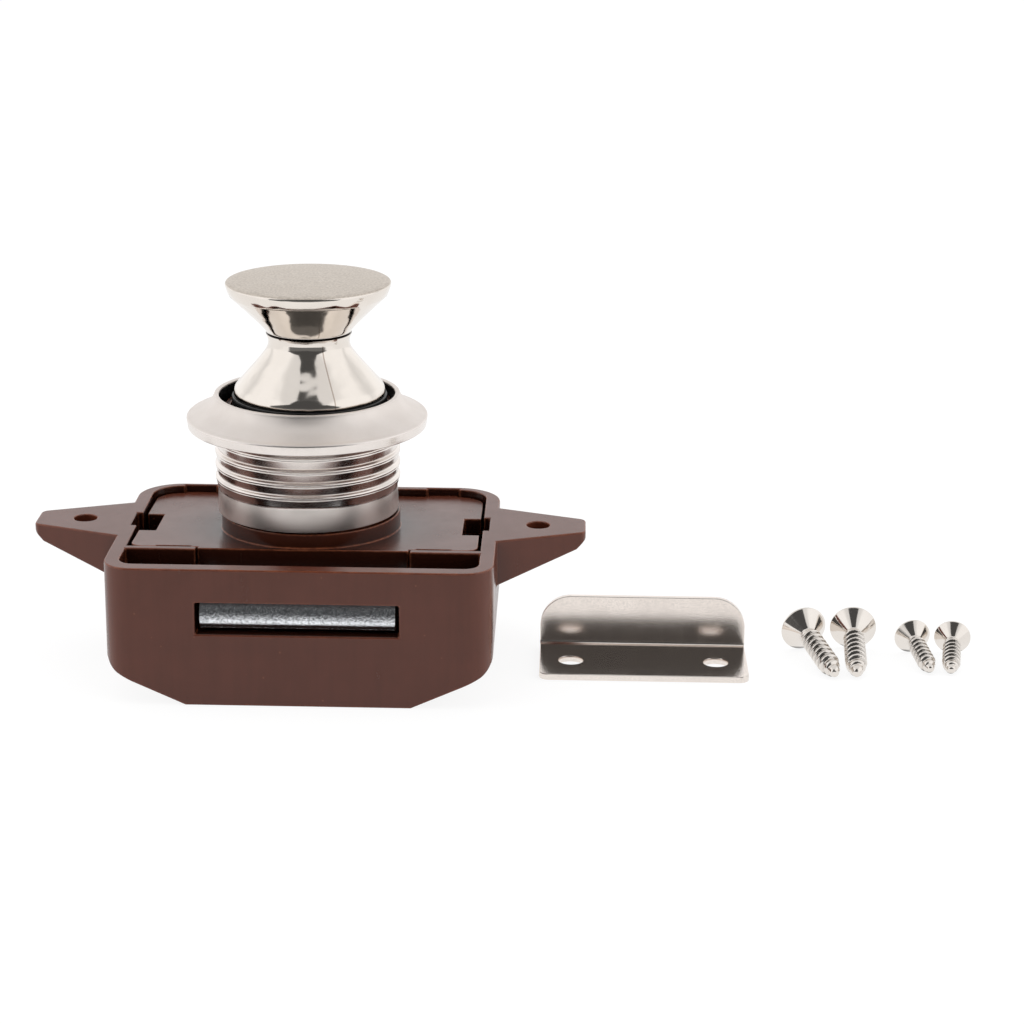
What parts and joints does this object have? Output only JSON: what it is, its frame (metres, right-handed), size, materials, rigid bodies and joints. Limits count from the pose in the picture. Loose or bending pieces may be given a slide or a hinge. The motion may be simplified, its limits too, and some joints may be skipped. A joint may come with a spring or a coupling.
{
  "type": "push button cabinet lock",
  "caption": "Push button cabinet lock: moulded case with screw ears, door collar, waisted push knob that drives a sprung slam bolt, with strike plate and screws.",
  "frame": {"origin": "midway between the two ear screw holes, on the case's mounting face, which is also the knob axis", "axes": "+Z along the knob axis, out of the door; -Y the way the bolt leaves; +X from ear to ear"},
  "size_m": [0.1287, 0.0384, 0.053],
  "materials": {
    "brown_moulding": "semi-gloss moulded brown plastic",
    "satin_nickel": "satin nickel plate on cast zinc",
    "polished_nickel": "polished nickel plate on cast zinc, with a bead-blasted top",
    "black_acetal": "black acetal",
    "white_acetal": "natural acetal",
    "zinc_plated_steel": "bright zinc plate on rolled steel",
    "spring_steel": "drawn spring wire and strip",
    "nickel_sheet": "nickel plate on pressed sheet steel",
    "nickel_screw": "nickel plate on steel screws"
  },
  "bodies": {
    "case": {"housing": "brown_moulding", "cover": "brown_moulding", "wire_spring": "spring_steel", "main_spring": "spring_steel"},
    "collar": {"collar": "satin_nickel"},
    "knob": {"knob": "polished_nickel", "plunger": "black_acetal", "drive_pins": "spring_steel", "knob_screw": "zinc_plated_steel", "screw_washer": "spring_steel"},
    "carrier": {"bolt_carrier": "white_acetal", "bolt_spring_left": "spring_steel", "bolt_spring_right": "spring_steel"},
    "bolt": {"latch_bolt": "zinc_plated_steel"},
    "latch": {"latch_wire": "spring_steel"},
    "strike": {"strike_plate": "nickel_sheet"},
    "housing_screws": {"housing_screw_left": "nickel_screw", "housing_screw_right": "nickel_screw"},
    "strike_screws": {"strike_screw_left": "nickel_screw", "strike_screw_right": "nickel_screw"}
  },
  "joints": [
    {"name": "knob_press", "type": "slide", "parent": "case", "child": "knob", "axis": [0, 0, -1], "range_m": [0, 0.015], "stiffness_N_per_m": 220, "springref_m": -0.006, "deforming": ["main_spring"]},
    {"name": "carrier_slide", "type": "slide", "parent": "case", "child": "carrier", "axis": [0, -1, 0], "range_m": [0, 0.00546]},
    {"name": "bolt_slam", "type": "slide", "parent": "carrier", "child": "bolt", "axis": [0, 1, 0], "range_m": [0, 0.005], "stiffness_N_per_m": 160, "springref_m": -0.004, "deforming": ["bolt_spring_left", "bolt_spring_right"]},
    {"name": "latch_swing", "type": "hinge", "parent": "case", "child": "latch", "pos_m": [0.0095, 0.012, -0.0125], "axis": [-1, 0, 0], "range_deg": [0, 7.63]},
    {"name": "collar_adjust", "type": "slide", "parent": "case", "child": "collar", "axis": [0, 0, 1], "range_m": [0, 0.006]},
    {"name": "strike_draw", "type": "slide", "parent": "case", "child": "strike", "axis": [0, -1, 0], "range_m": [0, 0.04]},
    {"name": "housing_screws_lift", "type": "slide", "parent": "case", "child": "housing_screws", "axis": [0, 0, 1], "range_m": [0, 0.04]},
    {"name": "strike_screws_lift", "type": "slide", "parent": "case", "child": "strike_screws", "axis": [0, 0, 1], "range_m": [0, 0.04]}
  ],
  "couplings": [
    {"joint": "carrier_slide", "follows": "knob_press", "ratio": 0.36397},
    {"joint": "latch_swing", "follows": "knob_press", "rad_per_m": 8.875}
  ]
}
